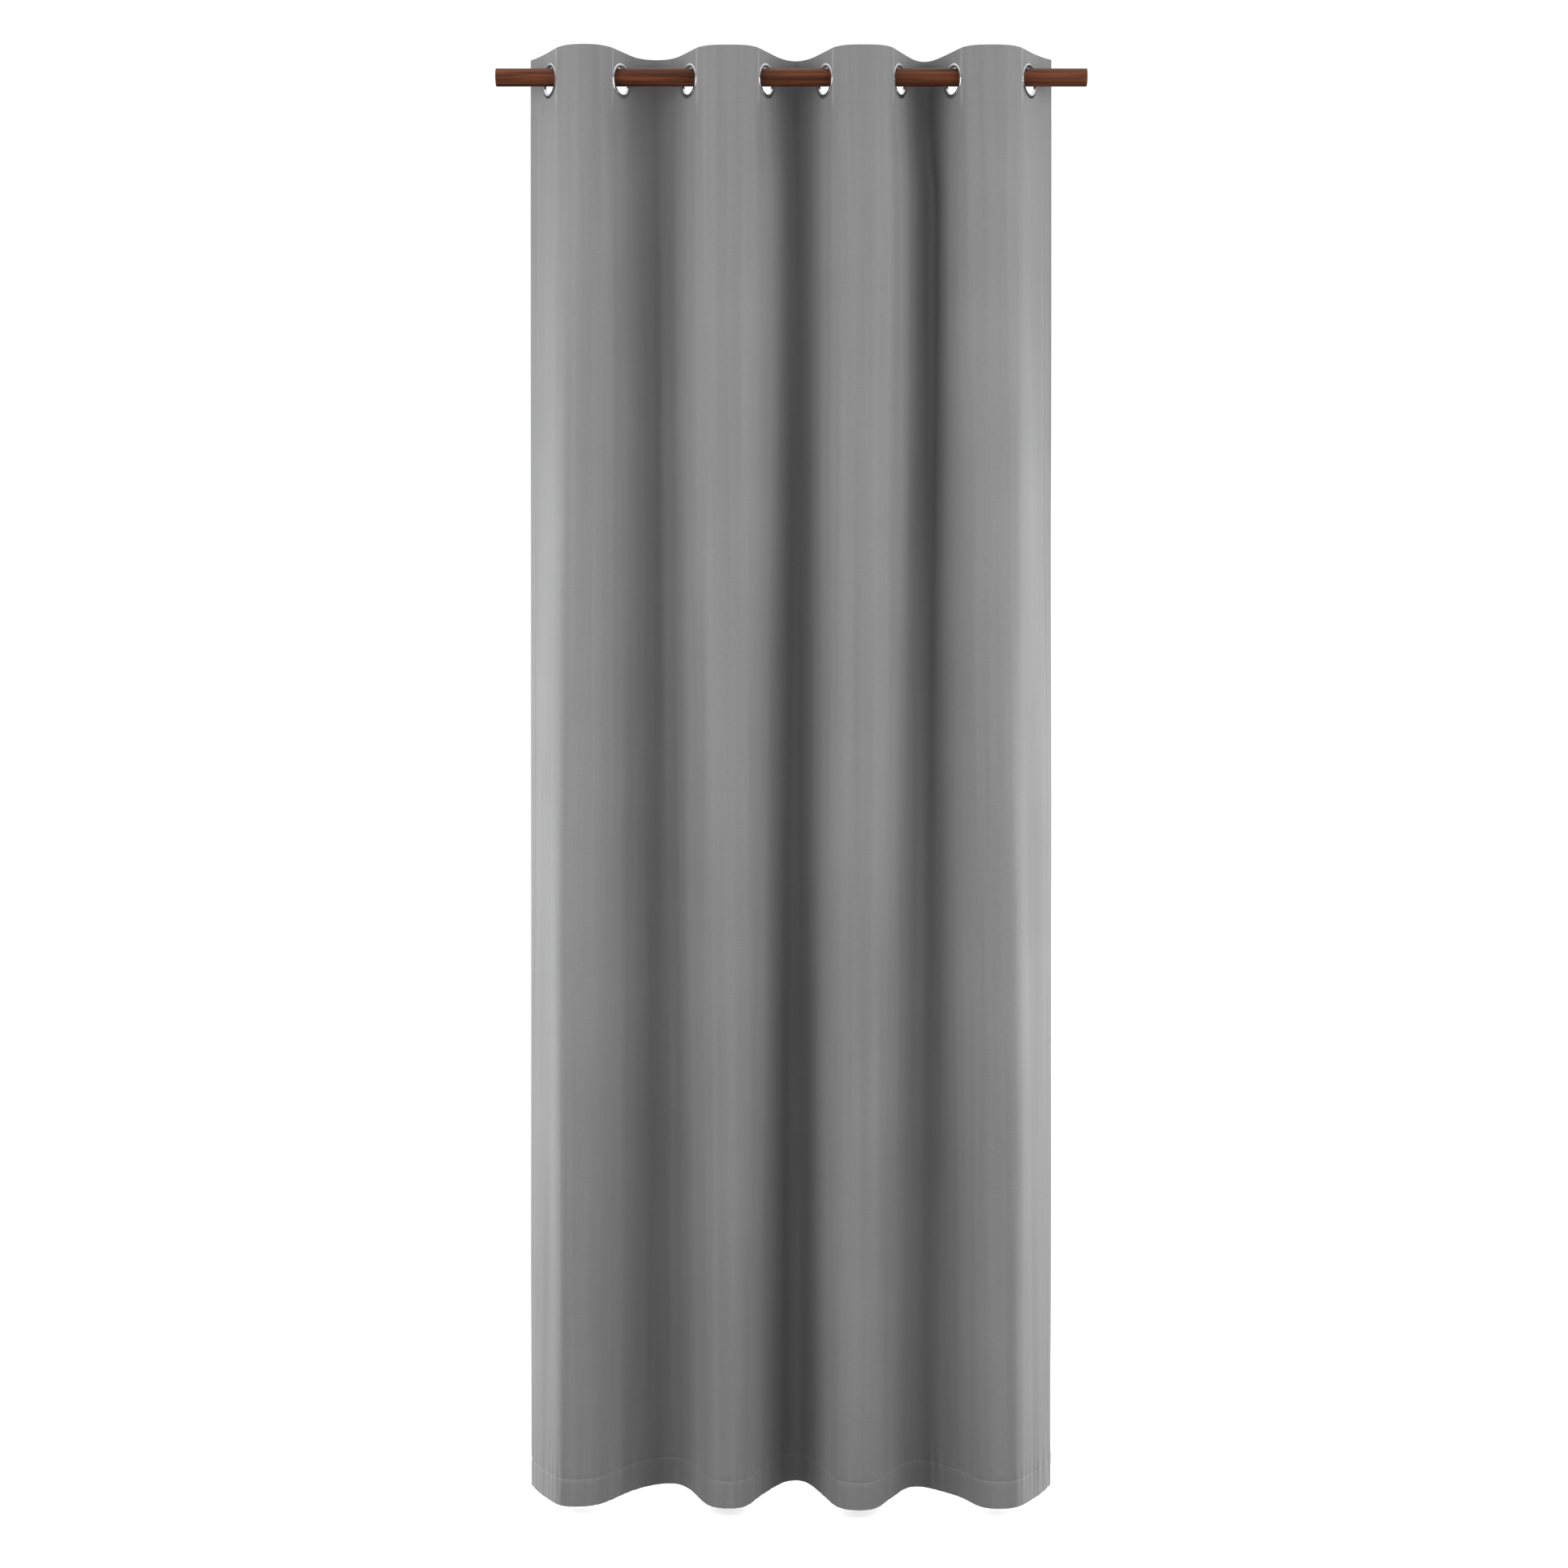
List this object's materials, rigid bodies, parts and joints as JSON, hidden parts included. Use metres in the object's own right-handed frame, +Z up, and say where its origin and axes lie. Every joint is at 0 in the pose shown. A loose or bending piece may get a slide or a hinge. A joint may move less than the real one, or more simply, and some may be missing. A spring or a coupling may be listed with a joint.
{
  "type": "fabric room curtain panel",
  "caption": "Tall grey fabric curtain panel with metal eyelets, hanging in soft vertical pleats on a round wooden rod.",
  "frame": {"origin": "middle of the rod's axis, which is also the line the panel hangs from", "axes": "+X along the rod, to the right seen from the room; +Z up; -Y towards the room, so the front waves of the cloth are on the -Y side of the rod"},
  "size_m": [1, 0.1356, 2.45],
  "materials": {
    "cloth": "soft satin weave, mid grey",
    "stiffener": "stiff woven heading tape",
    "ring_metal": "polished",
    "rod_wood": "reddish brown stain, satin"
  },
  "bodies": {
    "rod": {"rod": "rod_wood"},
    "leaf_1": {"pleat_1": "cloth", "tape_1": "stiffener", "ring_1": "ring_metal", "back_ring_1": "ring_metal"},
    "leaf_2": {"pleat_2": "cloth", "tape_2": "stiffener", "ring_2": "ring_metal", "back_ring_2": "ring_metal"},
    "leaf_3": {"pleat_3": "cloth", "tape_3": "stiffener", "ring_3": "ring_metal", "back_ring_3": "ring_metal"},
    "leaf_4": {"pleat_4": "cloth", "tape_4": "stiffener", "ring_4": "ring_metal", "back_ring_4": "ring_metal"},
    "leaf_5": {"pleat_5": "cloth", "tape_5": "stiffener", "ring_5": "ring_metal", "back_ring_5": "ring_metal"},
    "leaf_6": {"pleat_6": "cloth", "tape_6": "stiffener", "ring_6": "ring_metal", "back_ring_6": "ring_metal"},
    "leaf_7": {"pleat_7": "cloth", "tape_7": "stiffener", "ring_7": "ring_metal", "back_ring_7": "ring_metal"},
    "leaf_8": {"pleat_8": "cloth", "tape_8": "stiffener", "ring_8": "ring_metal", "back_ring_8": "ring_metal"}
  },
  "joints": [
    {"name": "gather", "type": "hinge", "parent": "rod", "child": "leaf_1", "pos_m": [-0.40845, 0, 0], "axis": [0, 0, -1], "range_deg": [-3, 24]},
    {"name": "fold_1", "type": "hinge", "parent": "leaf_1", "child": "leaf_2", "pos_m": [-0.3486, -0.05964, 0], "axis": [0, 0, 1], "range_deg": [-6.1, 48.1]},
    {"name": "fold_2", "type": "hinge", "parent": "leaf_2", "child": "leaf_3", "pos_m": [-0.2307, 0.06188, 0], "axis": [0, 0, -1], "range_deg": [-6.1, 48.1]},
    {"name": "fold_3", "type": "hinge", "parent": "leaf_3", "child": "leaf_4", "pos_m": [-0.10785, -0.05401, 0], "axis": [0, 0, 1], "range_deg": [-6.1, 48.1]},
    {"name": "fold_4", "type": "hinge", "parent": "leaf_4", "child": "leaf_5", "pos_m": [0.00735, 0.06964, 0], "axis": [0, 0, -1], "range_deg": [-6.1, 48.1]},
    {"name": "fold_5", "type": "hinge", "parent": "leaf_5", "child": "leaf_6", "pos_m": [0.1203, -0.05594, 0], "axis": [0, 0, 1], "range_deg": [-6.1, 48.1]},
    {"name": "fold_6", "type": "hinge", "parent": "leaf_6", "child": "leaf_7", "pos_m": [0.22875, 0.07368, 0], "axis": [0, 0, -1], "range_deg": [-6.1, 48.1]},
    {"name": "fold_7", "type": "hinge", "parent": "leaf_7", "child": "leaf_8", "pos_m": [0.33855, -0.05505, 0], "axis": [0, 0, 1], "range_deg": [-6.1, 48.1]}
  ],
  "couplings": [
    {"joint": "fold_1", "follows": "gather", "ratio": 2},
    {"joint": "fold_2", "follows": "gather", "ratio": 2},
    {"joint": "fold_3", "follows": "gather", "ratio": 2},
    {"joint": "fold_4", "follows": "gather", "ratio": 2},
    {"joint": "fold_5", "follows": "gather", "ratio": 2},
    {"joint": "fold_6", "follows": "gather", "ratio": 2},
    {"joint": "fold_7", "follows": "gather", "ratio": 2}
  ]
}
